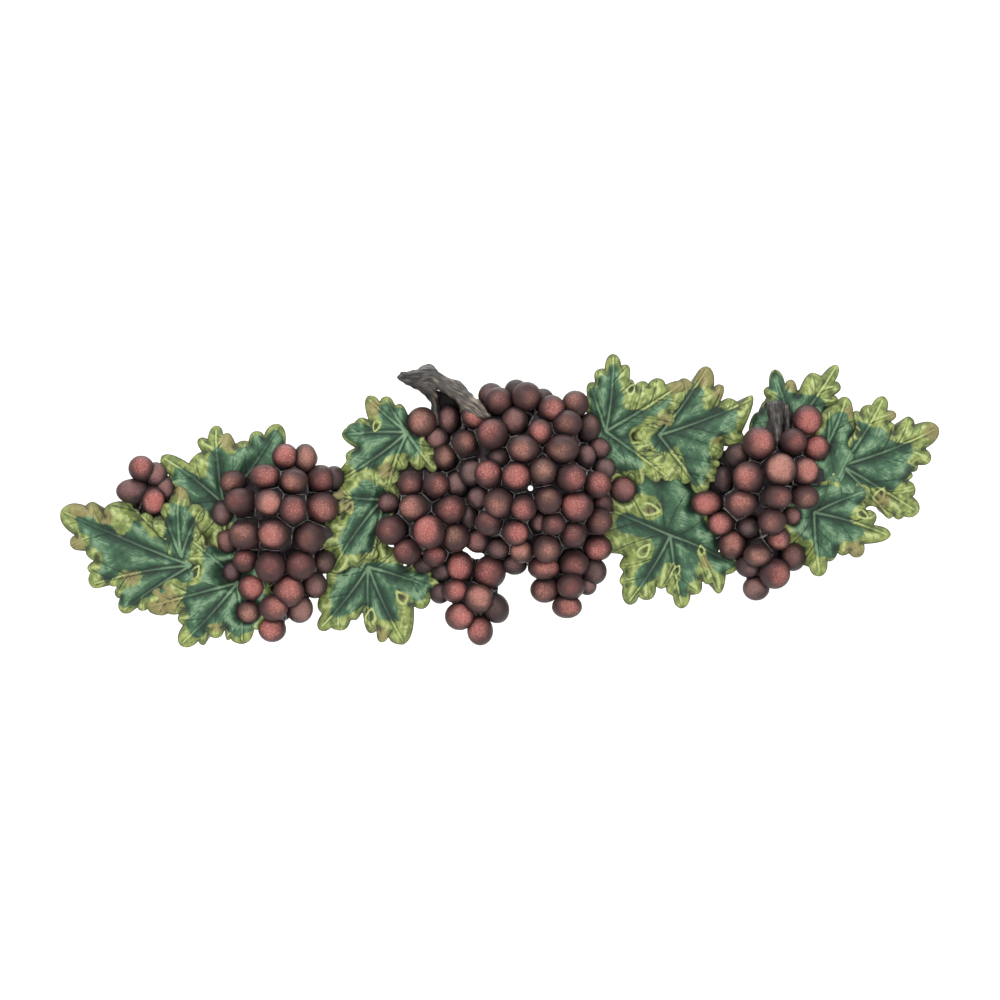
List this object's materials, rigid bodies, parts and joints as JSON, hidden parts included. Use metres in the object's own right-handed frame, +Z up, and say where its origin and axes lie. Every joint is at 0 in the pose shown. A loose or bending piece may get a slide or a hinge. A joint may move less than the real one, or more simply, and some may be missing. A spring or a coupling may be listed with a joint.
{
  "type": "decorative wall plaque",
  "caption": "Painted cast-resin wall swag of grape bunches, vine leaves and a short woody stem, in high relief on a flat back that is fixed to a wall.",
  "frame": {"origin": "on the flat back, in the middle of the plaque's length and height, where it rests on the wall", "axes": "+X to the right along the swag, +Y into the wall, +Z up"},
  "size_m": [0.5985, 0.0515, 0.2006],
  "materials": {
    "painted_grapes": "satin, hand painted dark red with rose highlights",
    "painted_leaves": "satin, hand painted green with yellow-green rims",
    "painted_stem": "matt, hand painted grey-brown bark",
    "resin_back": "matt, bare poured resin"
  },
  "bodies": {
    "root": {"plaque": "painted_grapes"}
  },
  "joints": []
}
